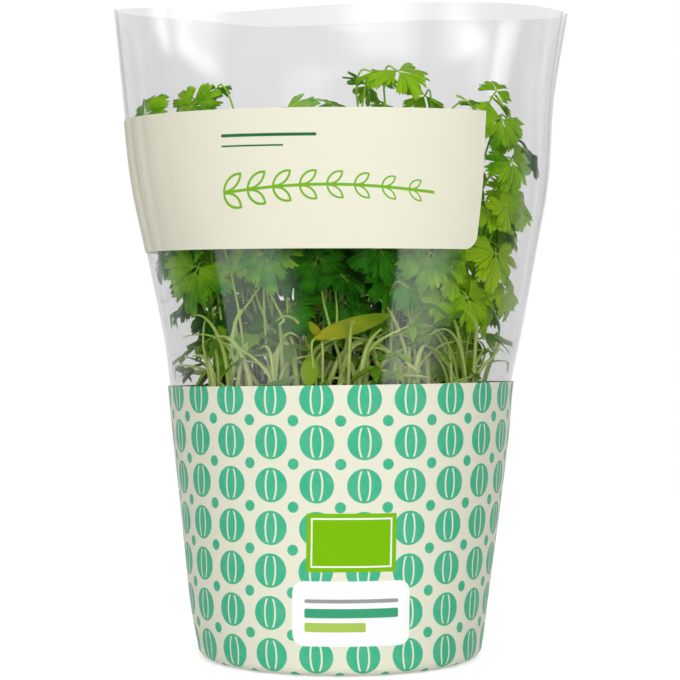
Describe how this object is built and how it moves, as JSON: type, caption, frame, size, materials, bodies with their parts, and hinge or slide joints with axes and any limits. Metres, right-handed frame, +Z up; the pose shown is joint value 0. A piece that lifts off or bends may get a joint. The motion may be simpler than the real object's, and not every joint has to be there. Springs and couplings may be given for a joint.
{
  "type": "potted coriander plant in a sleeve",
  "caption": "Coriander seedlings in soil in a thin round growing pot, inside a conical sleeve that is clear above and printed round the pot.",
  "frame": {"origin": "on the ground under the middle of the pot", "axes": "+Z up, -Y the front of the sleeve with its printed band, +X the side where the band ends"},
  "size_m": [0.1713, 0.1369, 0.2488],
  "materials": {
    "pot": "satin",
    "soil": "matte",
    "film": "gloss",
    "wrap": "satin",
    "label": "satin",
    "leaf": "satin"
  },
  "bodies": {
    "root": {"pot": "pot", "soil": "soil", "sleeve_film": "film", "sleeve_wrap": "wrap", "sleeve_label": "label", "shoot_01": "leaf", "shoot_02": "leaf", "shoot_03": "leaf", "shoot_04": "leaf", "shoot_05": "leaf", "shoot_06": "leaf", "shoot_07": "leaf", "shoot_08": "leaf", "shoot_09": "leaf", "shoot_10": "leaf", "shoot_11": "leaf", "shoot_12": "leaf", "shoot_13": "leaf", "shoot_14": "leaf", "shoot_15": "leaf", "shoot_16": "leaf", "shoot_17": "leaf", "shoot_18": "leaf", "shoot_19": "leaf", "shoot_20": "leaf", "shoot_21": "leaf", "shoot_22": "leaf", "shoot_23": "leaf", "shoot_24": "leaf", "shoot_25": "leaf", "shoot_26": "leaf", "shoot_27": "leaf", "shoot_28": "leaf", "shoot_29": "leaf", "shoot_30": "leaf", "shoot_31": "leaf", "shoot_32": "leaf", "shoot_33": "leaf", "shoot_34": "leaf", "shoot_35": "leaf", "shoot_36": "leaf", "shoot_37": "leaf"}
  },
  "joints": []
}
